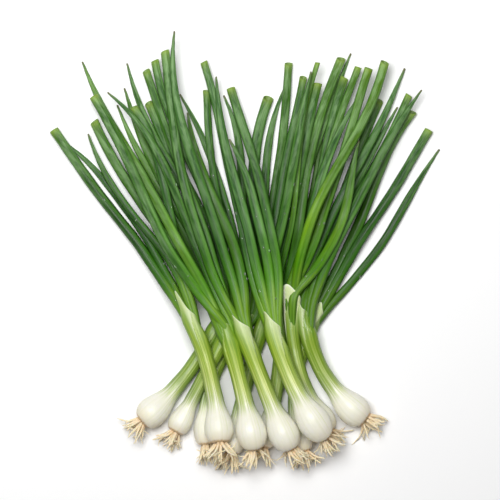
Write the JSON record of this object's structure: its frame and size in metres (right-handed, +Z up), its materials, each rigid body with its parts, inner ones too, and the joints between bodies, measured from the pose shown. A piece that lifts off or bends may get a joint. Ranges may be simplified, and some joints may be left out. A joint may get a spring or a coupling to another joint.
{
  "type": "spring onion bunch",
  "caption": "Bunch of spring onions lying flat, white bulbs with short roots together at one end and hollow green leaves fanned out, some with trimmed tips.",
  "frame": {"origin": "on the surface it lies on, under the middle of the bunch's bounding box", "axes": "+Y from the roots to the leaf tips, +X across the bunch, +Z up off the surface"},
  "size_m": [0.3146, 0.3516, 0.0503],
  "materials": {
    "bulb_and_stem": "fresh onion skin, white bulb turning pale green up the stem, soft satin shine",
    "leaf": "fresh onion leaf, green with a thin waxy bloom and fine lengthwise veins",
    "root": "dry thread roots, cream to tan"
  },
  "bodies": {
    "root": {"onion_01": "bulb_and_stem", "onion_01_leaf_1": "leaf", "onion_01_leaf_2": "leaf", "onion_01_leaf_3": "leaf", "onion_01_leaf_4": "leaf", "onion_02": "bulb_and_stem", "onion_02_leaf_1": "leaf", "onion_02_leaf_2": "leaf", "onion_02_leaf_3": "leaf", "onion_03": "bulb_and_stem", "onion_03_leaf_1": "leaf", "onion_03_leaf_2": "leaf", "onion_03_leaf_3": "leaf", "onion_04": "bulb_and_stem", "onion_04_leaf_1": "leaf", "onion_04_leaf_2": "leaf", "onion_04_leaf_3": "leaf", "onion_04_leaf_4": "leaf", "onion_04_leaf_5": "leaf", "onion_05": "bulb_and_stem", "onion_05_leaf_1": "leaf", "onion_05_leaf_2": "leaf", "onion_05_leaf_3": "leaf", "onion_05_leaf_4": "leaf", "onion_06": "bulb_and_stem", "onion_06_leaf_1": "leaf", "onion_06_leaf_2": "leaf", "onion_06_leaf_3": "leaf", "onion_07": "bulb_and_stem", "onion_07_leaf_1": "leaf", "onion_07_leaf_2": "leaf", "onion_07_leaf_3": "leaf", "onion_07_leaf_4": "leaf", "onion_08": "bulb_and_stem", "onion_08_leaf_1": "leaf", "onion_08_leaf_2": "leaf", "onion_08_leaf_3": "leaf", "onion_08_leaf_4": "leaf", "onion_08_leaf_5": "leaf", "onion_09": "bulb_and_stem", "onion_09_leaf_1": "leaf", "onion_09_leaf_2": "leaf", "onion_09_leaf_3": "leaf", "onion_09_leaf_4": "leaf", "onion_10": "bulb_and_stem", "onion_10_leaf_1": "leaf", "onion_10_leaf_2": "leaf", "onion_10_leaf_3": "leaf", "onion_10_leaf_4": "leaf", "onion_11": "bulb_and_stem", "onion_11_leaf_1": "leaf", "onion_11_leaf_2": "leaf", "onion_11_leaf_3": "leaf", "onion_11_leaf_4": "leaf", "onion_11_leaf_5": "leaf", "onion_12": "bulb_and_stem", "onion_12_leaf_1": "leaf", "onion_12_leaf_2": "leaf", "onion_12_leaf_3": "leaf", "onion_12_leaf_4": "leaf"}
  },
  "joints": []
}
